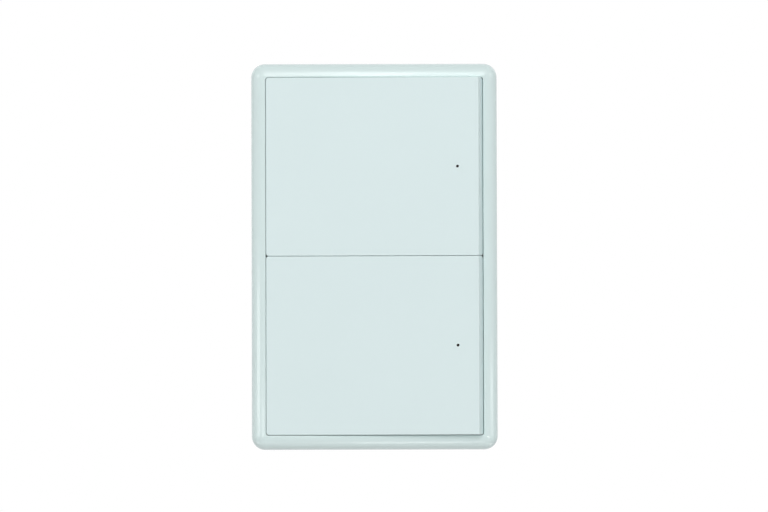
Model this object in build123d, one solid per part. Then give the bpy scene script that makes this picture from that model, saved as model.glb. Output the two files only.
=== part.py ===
from build123d import *
import os
from math import asin, atan2, cos, degrees, sin

# A two-gang smart light switch for a tall 4 x 2 inch wall box, in millimetres.
#
# The pieces are drawn as they lie on a bench, back down and front up: X to the right, Y up the
# wall, Z from the wall to the room, with Z = 0 at the wall and the origin midway between the two
# wall-box screws. The last lines stand the whole switch up, so that it faces -Y and +Z is up.

# Wall plate
plate_width = 76.4
plate_height = 120.0
plate_depth = 10.0
plate_corner = 4.2
rim_width = 4.4
rim_round = 4.0
lip_round = 0.25
lip_wall = 1.3
frame_wall = 1.8
opening_corner = 0.8

# Keys
key_gap = 0.12
key_split = 0.12
key_rise = 0.05
key_recess = 0.2
key_proud = 2.4
key_flank_width = 1.35
key_flank_drop = 3.1
key_wall = 1.5
key_corner = 0.8
key_edge_round = 0.2
key_rib = 1.0
skirt_clearance = 0.4

# Hinge, hooks and stroke
pin_radius = 1.15
pin_clearance = 0.08
pin_length = 8.4
pin_inset = 2.35
hinge_height = 4.9
saddle_length = 3.6
saddle_mouth = 2.0
lug_length = 1.6
fixing_spread = 19.0
press_stroke = 0.5
hook_inset = 2.55
hook_thickness = 1.4
hook_length = 5.0
hook_nose = 1.0
hook_nose_height = 0.8
contact_gap = 0.05

# Wall-box fixing
box_screw_spacing = 83.5
box_slot_width = 4.2
box_slot_length = 7.0
access_width = 9.6
access_length = 12.4

# Mounting strap and rear housing
strap_thickness = 1.2
strap_margin = 7.2
strap_corner = 5.0
strap_edge_round = 0.25
tray_floor = 1.6
tray_edge_round = 0.4
box_width = 45.0
box_height = 68.0
box_corner = 3.0
box_wall = 1.8
box_draft = 1.0
box_depth = 31.0
step_depth = 12.4
box_back_round = 1.2
step_corner = 1.6
vent_width = 1.4
vent_length = 15.0
vent_pitch = 3.4
vent_count = 5

# Carrier plate
carrier_gap = 0.4
carrier_wall = 1.6
skin_thickness = 1.4
carrier_height = 3.8
boss_radius = 3.2
boss_inset = 10.0
boss_end_inset = 10.3
well_wall = 1.0

# Circuit boards and what they carry
control_board_thickness = 1.0
power_board_thickness = 1.6
board_standoff = 0.4
board_margin = 6.1
board_end_margin = 14.6
power_board_depth = 6.0
board_fit = 0.4
lead_clearance = 0.1
lead_tail = 0.3
tact_x = 2.0
tact_size = 6.0
tact_height = 3.5
tact_total = 4.3
stem_length = 2.5
stem_radius = 1.7
stem_clearance = 0.1
lens_inset = 8.0
lens_tip_radius = 0.45
lens_stem_radius = 1.2
lens_tube_wall = 0.9
led_length = 2.0
led_width = 1.25
led_height = 0.8
spring_radius = 2.05
spring_wire = 0.24
spring_turns = 4
spring_inset = 9.8
spring_offset = 12.0

# Terminals
pole_count = 4
pole_pitch = 7.62
pole_length = 12.4
pole_height = 14.0
wire_entry_radius = 2.0
wire_funnel = 0.4
terminal_screw_radius = 1.5

# Case screws
case_screw_radius = 1.4
case_screw_head_radius = 2.7
case_screw_head_height = 1.3
case_screw_length = 5.6
screw_clearance = 0.03
drive_angle = 30.0

# Worked out from the sizes above
opening_width = plate_width - 2 * rim_width
opening_height = plate_height - 2 * rim_width
cavity_width = plate_width - 2 * frame_wall
cavity_height = plate_height - 2 * frame_wall
cavity_corner = plate_corner - frame_wall
tray_back = strap_thickness
tray_front = tray_back + tray_floor
carrier_front = tray_front + carrier_height
skin_back = carrier_front - skin_thickness
carrier_width = cavity_width - 2 * carrier_gap
carrier_length = cavity_height - 2 * carrier_gap
key_width = opening_width - 2 * key_gap
key_height = (opening_height - 2 * key_gap - key_split) / 2
key_centre = (key_height + key_split) / 2
key_left_face = plate_depth - key_recess
key_right_face = plate_depth + key_proud
face_right = key_width / 2 - key_flank_width
face_slope = (key_right_face - key_left_face) / (face_right + key_width / 2)
hinge_x = -key_width / 2 + pin_inset
hook_x = key_width / 2 - hook_inset
lens_x = opening_width / 2 - lens_inset
spring_x = opening_width / 2 - spring_inset
press_angle = asin(press_stroke / (tact_x - hinge_x))
edge_travel = (key_width / 2 - hinge_x) * sin(press_angle)
control_back = tray_front + board_standoff
control_front = control_back + control_board_thickness
power_front = -power_board_depth
power_back = power_front - power_board_thickness
stem_top = control_front + tact_total
screw_x = carrier_width / 2 - boss_inset
screw_y = carrier_length / 2 - boss_end_inset
slot_y = box_screw_spacing / 2
step_y = -box_height / 2 + 15.5
vent_middle = (step_y + box_height / 2) / 2
pole_y = -box_height / 2 + 8.6
pole_back = power_back - pole_height

print(f"key turns {degrees(press_angle):.3f} deg, free edge travels {edge_travel:.2f} mm")
print(f"stem travels {(tact_x - hinge_x) / 1000:.5f} m per radian of its key")
print(f"hinge at x {hinge_x:.2f}, height {hinge_height:.2f}; box screws at {slot_y:.2f}")


# Building blocks
def block(left, right, low, high, back, front):
    """A rectangular block between six planes."""
    size = (right - left, high - low, front - back)
    middle = ((left + right) / 2, (low + high) / 2, (back + front) / 2)
    return Pos(*middle) * Box(*size)


def slab(width, height, corner, back, front):
    """A flat plate with rounded corners, centred on the origin."""
    outline = RectangleRounded(width, height, corner)
    return extrude(Pos(0, 0, back) * outline, amount=front - back)


def disc(x, y, radius, back, front):
    """A round peg or hole along Z."""
    return Pos(x, y, (back + front) / 2) * Cylinder(radius, front - back)


def slotted(x, y, width, length, back, front):
    """A slot along Y with round ends."""
    outline = Rot(0, 0, 90) * SlotOverall(length, width)
    return extrude(Pos(x, y, back) * outline, amount=front - back)


def turned(x, y, profile):
    """A piece turned about an axis along Z, from (radius, z) corners that start and end on it."""
    section = make_face(Plane.XZ * Polyline(*profile, close=True))
    return Pos(x, y, 0) * revolve(section, Axis.Z)


def four_corners(x, y):
    return [(-x, -y), (x, -y), (-x, y), (x, y)]


def corner_column(x, y, back, front):
    """Everything outside the corner point (x, y), as seen from the origin."""
    left, right = sorted((x, 3 * x))
    low, high = sorted((y, 3 * y))
    return block(left, right, low, high, back, front)


# Front frame: one moulding with a quarter-round rim, cored behind, with snaps and a prise notch
snap_length = 8.0
snap_reach = 1.0
snap_depth = 1.4
snap_height = 4.4
snap_places = [(1, 0.25), (1, -0.25), (-1, 0.25), (-1, -0.25)]
prise_width = 9.0
prise_height = 1.5
core_depth = 1.2


def snap_wedge(length, reach, front, depth):
    """A catch on a left-hand wall: flat towards the room, sloped towards the wall plane."""
    corners = [(0, front), (reach, front), (reach, front - 0.3), (0, front - depth)]
    section = make_face(Plane.XZ * Polyline(*corners, close=True))
    return extrude(section, amount=length / 2, both=True)


def around_frame(piece_at):
    """Places a piece made for the left wall on all four walls of the frame."""
    placed = []
    for side, share in snap_places:
        turn = 0 if side > 0 else 180
        placed.append(Rot(0, 0, turn) * Pos(-cavity_width / 2, side * share * plate_height, 0) * piece_at)
    for turn in (90, -90):
        placed.append(Rot(0, 0, turn) * Pos(-cavity_height / 2, 0, 0) * piece_at)
    return placed


def front_frame():
    body = slab(plate_width, plate_height, plate_corner, 0, plate_depth)
    body = fillet(body.faces().sort_by(Axis.Z)[-1].edges(), rim_round)
    body -= slab(opening_width, opening_height, opening_corner, -1, plate_depth + 1)
    lip = body.edges().filter_by_position(Axis.Z, plate_depth - 0.01, plate_depth + 0.01)
    lip = lip.filter_by(lambda edge: abs(edge.center().X) < opening_width / 2 + 0.01
                        and abs(edge.center().Y) < opening_height / 2 + 0.01)
    body = fillet(lip, lip_round)
    body -= slab(cavity_width, cavity_height, cavity_corner, -1, carrier_front)
    core = slab(cavity_width, cavity_height, cavity_corner, 0, carrier_front + core_depth)
    lip_tube = slab(opening_width + 2 * lip_wall, opening_height + 2 * lip_wall,
                    opening_corner + lip_wall, -1, plate_depth)
    body -= core - lip_tube
    for catch in around_frame(snap_wedge(snap_length, snap_reach, snap_height, snap_depth)):
        body += catch
    body -= block(-prise_width / 2, prise_width / 2, -plate_height, -cavity_height / 2 + 0.1,
                  -1, prise_height)
    return body


# Keys: a wedge-shaped shell each, with hinge lugs on the left and stop hooks on the right
def face_height(x):
    return key_left_face + face_slope * (x + key_width / 2)


def underside_height(x):
    return face_height(x) - key_wall / cos(atan2(face_slope, 1))


def below_face(drop):
    """All the room that lies at least this far under the slanted face."""
    far = plate_width
    corners = [(-far, 0), (-far, face_height(-far) - drop), (far, face_height(far) - drop), (far, 0)]
    section = make_face(Plane.XZ * Polyline(*corners, close=True))
    return extrude(section, amount=key_height, both=True)


def key_shell():
    half = key_width / 2
    corners = [
        (-half, carrier_front + skirt_clearance),
        (-half, key_left_face),
        (face_right, key_right_face),
        (half, key_right_face - key_flank_drop),
        (half, carrier_front + skirt_clearance + edge_travel),
    ]
    section = make_face(Plane.XZ * Polyline(*corners, close=True))
    body = extrude(section, amount=key_height / 2, both=True)
    body = offset(body, amount=-key_wall, openings=body.faces().sort_by(Axis.Z)[0])
    body &= slab(key_width, key_height, key_corner, 0, 2 * plate_depth)
    return fillet(body.faces().sort_by(Axis.Z)[-1].edges(), key_edge_round)


def key_lugs(y):
    """One hinge pin between two lugs, which hang from the key's plate either side of a saddle."""
    pin = Pos(hinge_x, y, hinge_height) * Rot(90, 0, 0) * Cylinder(pin_radius, pin_length)
    lugs = pin
    for side in (-1, 1):
        outer = y + side * pin_length / 2
        inner = outer - side * lug_length
        low, high = min(outer, inner), max(outer, inner)
        lugs += block(hinge_x - pin_radius, hinge_x + pin_radius, low, high,
                      hinge_height, underside_height(hinge_x) + key_wall / 3)
    return lugs


def key_hook(y):
    """A stop hook: its nose catches under the carrier's skin when the key is up."""
    left = hook_x - hook_thickness / 2
    right = hook_x + hook_thickness / 2
    nose_top = skin_back - contact_gap
    nose_end = nose_top - hook_nose_height
    corners = [
        (left, underside_height(left) + key_wall / 3),
        (left, nose_end),
        (right, nose_end),
        (right + hook_nose, nose_top - hook_nose_height / 4),
        (right + hook_nose, nose_top),
        (right, nose_top),
        (right, underside_height(left) + key_wall / 3),
    ]
    section = make_face(Plane.XZ * Polyline(*corners, close=True))
    return Pos(0, y, 0) * extrude(section, amount=hook_length / 2, both=True)


def key_ribs():
    """Two long ribs and two cross ribs that keep the key's plate flat."""
    left, right = -key_width / 2 + 1, key_width / 2 - 1
    rib_depth = 1.1
    offset = (tact_size / 2 + spring_offset - spring_radius) / 2
    ribs = []
    for y in (-offset, offset):
        corners = [
            (left, underside_height(left) + 0.2),
            (right, underside_height(right) + 0.2),
            (right, underside_height(right) - rib_depth),
            (left, underside_height(left) - rib_depth / 3),
        ]
        section = make_face(Plane.XZ * Polyline(*corners, close=True))
        ribs.append(Pos(0, y, 0) * extrude(section, amount=key_rib / 2, both=True))
    for share in (-0.25, 0.25):
        x = share * key_width
        ribs.append(block(x - key_rib / 2, x + key_rib / 2, -key_height / 2 + 1, key_height / 2 - 1,
                          underside_height(x) - rib_depth, underside_height(x) + 0.4))
    return ribs


lens_tube_back = carrier_front + 1.0
spigot_radius = spring_radius - spring_wire - 0.25
spigot_length = 1.8


def key():
    body = key_shell()
    inside = block(-key_width / 2 + 0.5, key_width / 2 - 0.5, -key_height / 2 + 0.5,
                   key_height / 2 - 0.5, 0, 2 * plate_depth)
    inside &= below_face(key_wall / 2)
    fittings = disc(tact_x, 0, stem_radius, stem_top + contact_gap, key_right_face)
    fittings += disc(lens_x, 0, lens_stem_radius + lens_tube_wall, lens_tube_back, key_right_face)
    fittings += disc(spring_x, spring_offset, spigot_radius,
                     underside_height(spring_x) - spigot_length, key_right_face)
    for rib in key_ribs():
        fittings += rib
    body += fittings & inside
    for y in (-fixing_spread, fixing_spread):
        body += key_lugs(y)
        body += key_hook(y)
    body -= disc(lens_x, 0, lens_tip_radius, 0, 2 * plate_depth)
    body -= disc(lens_x, 0, lens_stem_radius, 0, underside_height(lens_x))
    return body


# Indicator lens: a stepped light guide, flush with the slanted face of its key
lens_back = carrier_front - 0.3
lens_flush = 0.02


def indicator_lens():
    step = underside_height(lens_x)
    guide = turned(lens_x, 0, [
        (0, lens_back + 0.5),
        (lens_stem_radius * 0.6, lens_back),
        (lens_stem_radius, lens_back),
        (lens_stem_radius, step),
        (lens_tip_radius, step),
        (lens_tip_radius, key_right_face),
        (0, key_right_face),
    ])
    return guide & below_face(lens_flush)


# Return spring: helical, from its cup in the carrier to the underside of the key
spring_seat = control_front + 0.9
spring_cup_floor = 0.6
spring_cup_radius = spring_radius + spring_wire + 0.35


def return_spring():
    bottom = spring_seat + spring_wire + 0.02
    top = underside_height(spring_x) - spring_wire - contact_gap
    height = top - bottom
    coil = Helix(pitch=height / spring_turns, height=height, radius=spring_radius)
    wire = Plane(coil @ 0, z_dir=coil % 0) * Circle(spring_wire)
    return Pos(spring_x, spring_offset, bottom) * sweep(wire, path=coil, is_frenet=True)


# Carrier plate: a moulded lid that carries the keys and closes the electronics
hook_slot_left = hook_x - hook_thickness / 2 - 0.8
hook_slot_right = hook_x + hook_thickness / 2 + 0.3
hinge_slot_left = hinge_x - pin_radius - 0.9
hinge_slot_right = hinge_x + pin_radius + 1.2
tact_window_gap = 0.3
lens_hole_radius = lens_stem_radius + 0.6
post_radius = 1.5
pilot_radius = case_screw_radius + screw_clearance
pocket_clearance = 0.1


def hinge_saddle(y):
    """An open C-shaped bearing across its window, narrower at the mouth than the pin."""
    low, high = y - saddle_length / 2, y + saddle_length / 2
    left = -carrier_width / 2 + carrier_wall / 2
    bearing = block(left, hinge_slot_right + 0.5, low, high, tray_front + 0.05, carrier_front)
    groove = Rot(90, 0, 0) * Cylinder(pin_radius + pin_clearance, saddle_length + 1)
    bearing -= Pos(hinge_x, y, hinge_height) * groove
    bearing -= block(hinge_x - saddle_mouth / 2, hinge_x + saddle_mouth / 2, low - 1, high + 1,
                     hinge_height, carrier_front + 1)
    lead_in = (saddle_mouth / 2 + 0.9, saddle_mouth / 2)
    corners = [(-lead_in[1], carrier_front - 0.9), (lead_in[1], carrier_front - 0.9),
               (lead_in[0], carrier_front + 0.1), (-lead_in[0], carrier_front + 0.1)]
    section = make_face(Plane.XZ * Polyline(*corners, close=True))
    return bearing - Pos(hinge_x, y, 0) * extrude(section, amount=saddle_length, both=True)


def board_posts():
    """Where the tray's pads and the carrier's posts pinch the control board."""
    return four_corners(control_half_width - 3.5, control_half_height - 10.0)


def carrier_plate():
    body = slab(carrier_width, carrier_length, cavity_corner, tray_front, carrier_front)
    body -= slab(carrier_width - 2 * carrier_wall, carrier_length - 2 * carrier_wall,
                 cavity_corner / 2, 0, skin_back)
    for x, y in four_corners(screw_x, screw_y):
        body += disc(x, y, boss_radius, tray_front, carrier_front - 0.1)
        body -= disc(x, y, pilot_radius, 0, carrier_front - 0.7)
    for y in (-slot_y, slot_y):
        body += slotted(0, y, access_width + 2 * well_wall, access_length + 2 * well_wall,
                        tray_front, carrier_front)
        body -= slotted(0, y, access_width, access_length, 0, plate_depth)
    for x, y in board_posts():
        body += disc(x, y, post_radius, control_front, skin_back + 0.1)
    for centre in (-key_centre, key_centre):
        window = tact_size / 2 + tact_window_gap
        body -= block(tact_x - window, tact_x + window, centre - window, centre + window,
                      0, plate_depth)
        body -= disc(lens_x, centre, lens_hole_radius, 0, plate_depth)
        cup_y = centre + spring_offset
        body += disc(spring_x, cup_y, spring_cup_radius + 0.8,
                     spring_seat - spring_cup_floor, carrier_front - 0.1)
        body -= disc(spring_x, cup_y, spring_cup_radius, spring_seat, plate_depth)
        for y in (centre - fixing_spread, centre + fixing_spread):
            window = pin_length / 2 + 0.5
            body -= block(hinge_slot_left, hinge_slot_right, y - window, y + window,
                          0, plate_depth)
            body += hinge_saddle(y)
            window = hook_length / 2 + 0.4
            body -= block(hook_slot_left, hook_slot_right, y - window, y + window,
                          0, plate_depth)
    reach = snap_reach + pocket_clearance
    pocket = block(0, reach, -snap_length / 2 - 0.5, snap_length / 2 + 0.5,
                   tray_front - 0.1, snap_height + pocket_clearance)
    for recess in around_frame(pocket):
        body -= recess
    return body


# Control board with its switches, lights, chip and radio
control_half_width = opening_width / 2 - board_margin
control_half_height = carrier_length / 2 - board_end_margin
tact_lead_x = 3.25
tact_lead_y = 2.25
tact_lead_radius = 0.35
header_x = -12.0
header_y = 22.0
header_pitch = 2.54
header_columns = 4
header_pin_radius = 0.32
notch_width = access_width / 2 + well_wall + 0.6
notch_depth = slot_y - access_length / 2 - well_wall - 0.6


def header_pins():
    start = header_x - header_pitch * (header_columns - 1) / 2
    return [(start + column * header_pitch, header_y + row * header_pitch / 2)
            for column in range(header_columns) for row in (-1, 1)]


def tact_leads(centre):
    return [(tact_x + x, centre + y) for x, y in four_corners(tact_lead_x, tact_lead_y)]


def drilled(board, places, radius, back, front):
    for x, y in places:
        board -= disc(x, y, radius + lead_clearance, back - 1, front + 1)
    return board


def control_board():
    board = slab(2 * control_half_width, 2 * control_half_height, 2.0, control_back, control_front)
    for side in (-1, 1):
        low, high = sorted((side * notch_depth, side * plate_height))
        board -= block(-notch_width, notch_width, low, high, control_back - 1, control_front + 1)
    for centre in (-key_centre, key_centre):
        board = drilled(board, tact_leads(centre), tact_lead_radius, control_back, control_front)
    return drilled(board, header_pins(), header_pin_radius, control_back, control_front)


def tact_switch(centre):
    half = tact_size / 2
    body = block(tact_x - half, tact_x + half, centre - half, centre + half,
                 control_front, control_front + tact_height)
    body = chamfer(body.edges().filter_by(Axis.Z), 0.5)
    body -= disc(tact_x, centre, stem_radius + stem_clearance,
                 stem_top - stem_length - press_stroke - stem_clearance, stem_top)
    for x, y in four_corners(half - 0.9, half - 0.9):
        body += disc(tact_x + x, centre + y, 0.45, control_front, control_front + tact_height + 0.15)
    for x, y in tact_leads(centre):
        body += disc(x, y, tact_lead_radius, control_back - lead_tail, control_front + 0.5)
        body += block(min(x, tact_x), max(x, tact_x), y - 0.3, y + 0.3,
                      control_front, control_front + 0.5)
    return body


def switch_stem(centre):
    stem = disc(tact_x, centre, stem_radius, stem_top - stem_length, stem_top)
    return fillet(stem.edges().sort_by(Axis.Z)[-1], 0.3)


def led(centre):
    body = block(lens_x - led_width / 2, lens_x + led_width / 2, centre - led_length / 2,
                 centre + led_length / 2, control_front, control_front + led_height / 2)
    lens = block(lens_x - led_width / 2, lens_x + led_width / 2, centre - led_length / 3,
                 centre + led_length / 3, control_front, control_front + led_height)
    return body + chamfer(lens.faces().sort_by(Axis.Z)[-1].edges(), 0.12)


def control_chip():
    x, y, width, length = -12.0, 0.0, 3.9, 4.9
    height = 0.75 * (skin_back - control_front)
    body = block(x - width / 2, x + width / 2, y - length / 2, y + length / 2,
                 control_front + 0.1, control_front + height)
    body = chamfer(body.faces().sort_by(Axis.Z)[-1].edges(), 0.15)
    for side in (-1, 1):
        for step in range(4):
            pin_y = y + (step - 1.5) * 1.27
            left, right = sorted((x + side * width / 2 - side * 0.2, x + side * 3.0))
            body += block(left, right, pin_y - 0.2, pin_y + 0.2, control_front, control_front + 0.3)
    return body


radio_x = 12.0
radio_y = 2.0
radio_width = 15.0
radio_length = 20.0
radio_board = 0.8
shield_height = 2.2


def radio_module():
    back = control_back - radio_board
    board = block(radio_x - radio_width / 2, radio_x + radio_width / 2,
                  radio_y - radio_length / 2, radio_y + radio_length / 2, back, control_back)
    for side in (-1, 1):
        for step in range(8):
            board -= disc(radio_x + side * radio_width / 2, radio_y - 8 + step * 1.8, 0.4,
                          back - 1, control_back + 1)
    return board


def radio_shield():
    """A folded can, open towards its board, with the antenna end of the board left bare."""
    front = control_back - radio_board
    back = front - shield_height
    half = radio_width / 2 - 1.2
    low, high = radio_y - radio_length / 2 + 1, radio_y + radio_length / 2 - 5.5
    can = block(radio_x - half, radio_x + half, low, high, back, front)
    can = fillet(can.faces().sort_by(Axis.Z)[0].edges(), 0.35)
    return can - block(radio_x - half + 0.3, radio_x + half - 0.3, low + 0.3, high - 0.3,
                       back + 0.3, front + 1)


def board_header():
    """A spacer strip with its pins, which join the two boards."""
    half_x = header_pitch * header_columns / 2
    strip = block(header_x - half_x, header_x + half_x, header_y - header_pitch,
                  header_y + header_pitch, power_front, control_back)
    waist = 0.8
    strip -= block(header_x - half_x - 1, header_x + half_x + 1, header_y - header_pitch - 1,
                   header_y - header_pitch + waist, power_front + 2.5, control_back - 2.5)
    strip -= block(header_x - half_x - 1, header_x + half_x + 1, header_y + header_pitch - waist,
                   header_y + header_pitch + 1, power_front + 2.5, control_back - 2.5)
    for x, y in header_pins():
        strip += disc(x, y, header_pin_radius, power_back - 1.0, control_front + 0.4)
    return strip


# Power board and its parts, which stand behind it
relay_width = 15.4
relay_length = 18.6
relay_height = 15.0
relay_x = 8.6
relay_y = step_y + box_wall + 0.6 + relay_length / 2
post_width = 4.4
power_half_width = box_width / 2 - box_wall - board_fit
power_half_height = box_height / 2 - box_wall - board_fit
board_screw_radius = 0.95
board_screw_length = 5.0
post_x = box_width / 2 - box_wall - post_width
post_y = box_height / 2 - box_wall - post_width


def relay_leads(x):
    return [(x - 6, relay_y - 7.5), (x + 6, relay_y - 7.5), (x, relay_y + 7.0),
            (x - 6, relay_y + 7.0), (x + 6, relay_y + 7.0)]


def relay(x):
    back = power_back - relay_height
    case = block(x - relay_width / 2, x + relay_width / 2, relay_y - relay_length / 2,
                 relay_y + relay_length / 2, back, power_back - 0.3)
    case = fillet(case.edges().filter_by(Axis.Z), 0.8)
    case = fillet(case.faces().sort_by(Axis.Z)[0].edges(), 0.5)
    case += block(x - relay_width / 2 + 0.4, x + relay_width / 2 - 0.4,
                  relay_y - relay_length / 2 + 0.4, relay_y + relay_length / 2 - 0.4,
                  power_back - 0.6, power_back)
    case -= disc(x - relay_width / 3, relay_y - relay_length / 3, 0.6, back - 1, back + 0.3)
    for lead_x, lead_y in relay_leads(x):
        case += disc(lead_x, lead_y, 0.45, power_back - 0.2, power_front + 0.9)
    return case


core_x = -10.0
core_y = 14.6
core_width = 13.4
core_length = 10.0
core_height = 11.5
core_limb = 2.6
winding_radius = 3.9
bobbin_gap = 0.05


def transformer_leads():
    return [(core_x + x, core_y + y) for x, y in four_corners(4.2, 3.6)]


def transformer_core():
    """Two E halves about a round middle limb, drawn as the closed core that they make."""
    front, back = power_back - 1.2, power_back - core_height
    body = block(core_x - core_width / 2, core_x + core_width / 2, core_y - core_length / 3,
                 core_y + core_length / 3, back, front)
    body = chamfer(body.edges().filter_by(Axis.Y), 0.4)
    body -= block(core_x - core_width / 2 + core_limb, core_x + core_width / 2 - core_limb,
                  core_y - core_length, core_y + core_length, back + core_limb, front - core_limb)
    return body + disc(core_x, core_y, core_limb / 2 + 0.3, back + 0.5, front - 0.5)


def transformer_winding():
    """Bobbin with its taped winding and lead rail, threaded by the core's middle limb."""
    front, back = power_back - 1.2 - core_limb, power_back - core_height + core_limb
    gap = bobbin_gap
    half = core_width / 2 - core_limb - gap
    body = disc(core_x, core_y, winding_radius, back + gap, front - gap)
    for end in ((back + gap, back + gap + 0.6), (front - gap - 0.6, front - gap)):
        body += block(core_x - half, core_x + half, core_y - core_length / 2,
                      core_y + core_length / 2, *end)
    for side in (-1, 1):
        edge = core_y + side * core_length / 3 + side * gap
        low, high = sorted((edge, core_y + side * core_length / 2))
        body += block(core_x - half, core_x + half, low, high, front - gap - 0.6, power_back)
    body -= disc(core_x, core_y, core_limb / 2 + 0.3 + gap, back - 1, front + 1)
    for x, y in transformer_leads():
        body += disc(x, y, 0.3, power_back - 1, power_front + 0.9)
    return body


def capacitor_leads(x, y):
    return [(x - 1.25, y), (x + 1.25, y)]


def capacitor(x, y, radius, height):
    """A sleeved can with a rolled shoulder and a cross-shaped vent in its end."""
    back = power_back - height
    body = turned(x, y, [
        (0, power_back), (radius - 0.4, power_back), (radius, power_back - 0.4),
        (radius, power_back - 1.3), (radius - 0.35, power_back - 1.6),
        (radius - 0.35, power_back - 2.0), (radius, power_back - 2.4), (radius, back + 0.4),
        (radius - 0.4, back), (0, back),
    ])
    for width, length in ((0.25, radius), (radius, 0.25)):
        body -= block(x - width / 2, x + width / 2, y - length / 2, y + length / 2,
                      back - 1, back + 0.2)
    for lead_x, lead_y in capacitor_leads(x, y):
        body += disc(lead_x, lead_y, 0.3, power_back - 0.5, power_front + 0.9)
    return body


input_cap = (5.6, 13.6, 5.0, 16.0)
output_cap = (15.2, 13.8, 4.0, 12.0)
varistor_x, varistor_y = -9.0, 26.6
varistor_radius, varistor_thickness = 4.2, 3.6
fuse_x, fuse_y = 5.4, 25.4


def varistor_leads():
    return [(varistor_x - 2.5, varistor_y - 0.6), (varistor_x + 2.5, varistor_y + 0.6)]


def varistor():
    disc_body = Rot(90, 0, 0) * Cylinder(varistor_radius, varistor_thickness)
    disc_body = fillet(disc_body.edges().filter_by(GeomType.CIRCLE), 1.2)
    body = Pos(varistor_x, varistor_y, power_back - varistor_radius - 1.0) * disc_body
    for x, y in varistor_leads():
        body += disc(x, y, 0.35, power_back - 3.5, power_front + 0.9)
    return body


def fuse_leads():
    return [(fuse_x - 2.54, fuse_y), (fuse_x + 2.54, fuse_y)]


def fuse():
    body = block(fuse_x - 4.2, fuse_x + 4.2, fuse_y - 2.0, fuse_y + 2.0,
                 power_back - 7.6, power_back)
    body = fillet(body.edges().filter_by(Axis.Z), 0.6)
    for x, y in fuse_leads():
        body += disc(x, y, 0.3, power_back - 0.5, power_front + 0.9)
    return body


def pole_places():
    start = -pole_pitch * (pole_count - 1) / 2
    return [start + step * pole_pitch for step in range(pole_count)]


def pole_leads():
    return [(x, pole_y) for x in pole_places()]


def board_screw_places():
    x = post_x + post_width / 2
    y = post_y + post_width / 2
    return [(-x, y), (x, y)]


def power_board():
    board = slab(2 * power_half_width, 2 * power_half_height, 1.5, power_back, power_front)
    leads = [
        (relay_leads(-relay_x) + relay_leads(relay_x), 0.45),
        (transformer_leads(), 0.3),
        (capacitor_leads(*input_cap[:2]) + capacitor_leads(*output_cap[:2]), 0.3),
        (varistor_leads(), 0.35),
        (fuse_leads(), 0.3),
        (pole_leads(), tail_radius),
        (header_pins(), header_pin_radius),
        (board_screw_places(), board_screw_radius),
    ]
    for places, radius in leads:
        board = drilled(board, places, radius, power_back, power_front)
    return board


def board_screws():
    """Two pan-head screws that hold the power board to the posts in the housing."""
    screws = []
    for x, y in board_screw_places():
        head = turned(x, y, [
            (0, power_front), (1.9, power_front), (1.9, power_front + 0.8),
            (1.3, power_front + 1.4), (0, power_front + 1.4),
        ])
        shank = disc(x, y, board_screw_radius, power_front - board_screw_length,
                     power_front + 0.1)
        screws.append(head + shank - cross_recess(x, y, 2.0, power_front + 0.7, power_front + 2))
    return Compound(children=screws)


def cross_recess(x, y, span, back, front):
    """The cross drive of a screw head, at the angle that the screw was left at."""
    blade = 0.55
    depth = front - back
    cross = Box(span, blade, depth) + Box(blade, span, depth)
    return Pos(x, y, (back + front) / 2) * Rot(0, 0, drive_angle) * cross


# Screw terminals: the wires enter from below, the screws face the back
tail_radius = 0.6
cage_width = 5.6
cage_length = 5.2
cage_height = 5.8
cage_wall = 0.9
cage_room = 0.2
cage_back = pole_back + 3.4
well_radius = 2.25
pole_low = pole_y - pole_length / 2
cage_low = pole_low + 3.0 + cage_room
cage_y = cage_low + cage_length / 2
entry_height = cage_back + cage_height / 2 + 0.1
entry_length = cage_low - cage_room - pole_low
thread_clearance = 0.03


def terminal_pole(x):
    """One moulded module: screw well behind, cage chamber inside, wire funnel below."""
    fit = 0.02
    body = block(x - pole_pitch / 2 + fit, x + pole_pitch / 2 - fit, pole_low,
                 pole_y + pole_length / 2, pole_back, power_back)
    rear_top = body.edges().filter_by(Axis.X).sort_by(Axis.Z)[:2].sort_by(Axis.Y)[-1]
    body = chamfer(rear_top, 1.6)
    chamber = block(x - cage_width / 2 - cage_room, x + cage_width / 2 + cage_room,
                    cage_low - cage_room, cage_low + cage_length + cage_room,
                    cage_back - cage_room, cage_back + cage_height + cage_room)
    body -= chamber
    body -= disc(x, cage_y, well_radius, pole_back - 1, cage_back)
    body -= disc(x, pole_y, tail_radius + thread_clearance, cage_back, power_back + 1)
    entry = turned(0, 0, [
        (0, -1), (wire_entry_radius + wire_funnel + 1, -1), (wire_entry_radius, wire_funnel),
        (wire_entry_radius, entry_length + 0.1), (0, entry_length + 0.1),
    ])
    return body - Pos(x, pole_low, entry_height) * Rot(-90, 0, 0) * entry


def terminal_clamp(x):
    """A square cage round the wire, threaded for its screw, with a tail to the board."""
    half = cage_width / 2
    body = block(x - half, x + half, cage_low, cage_low + cage_length,
                 cage_back, cage_back + cage_height)
    body = chamfer(body.edges().filter_by(Axis.Y), 0.4)
    body -= block(x - half + cage_wall, x + half - cage_wall, cage_low - 1,
                  cage_low + cage_length + 1, cage_back + cage_wall,
                  cage_back + cage_height - cage_wall)
    body -= disc(x, cage_y, terminal_screw_radius + thread_clearance,
                 cage_back - 1, cage_back + cage_wall + 0.1)
    return body + disc(x, pole_y, tail_radius, cage_back + cage_height - 0.3, power_front + 1.0)


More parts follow.
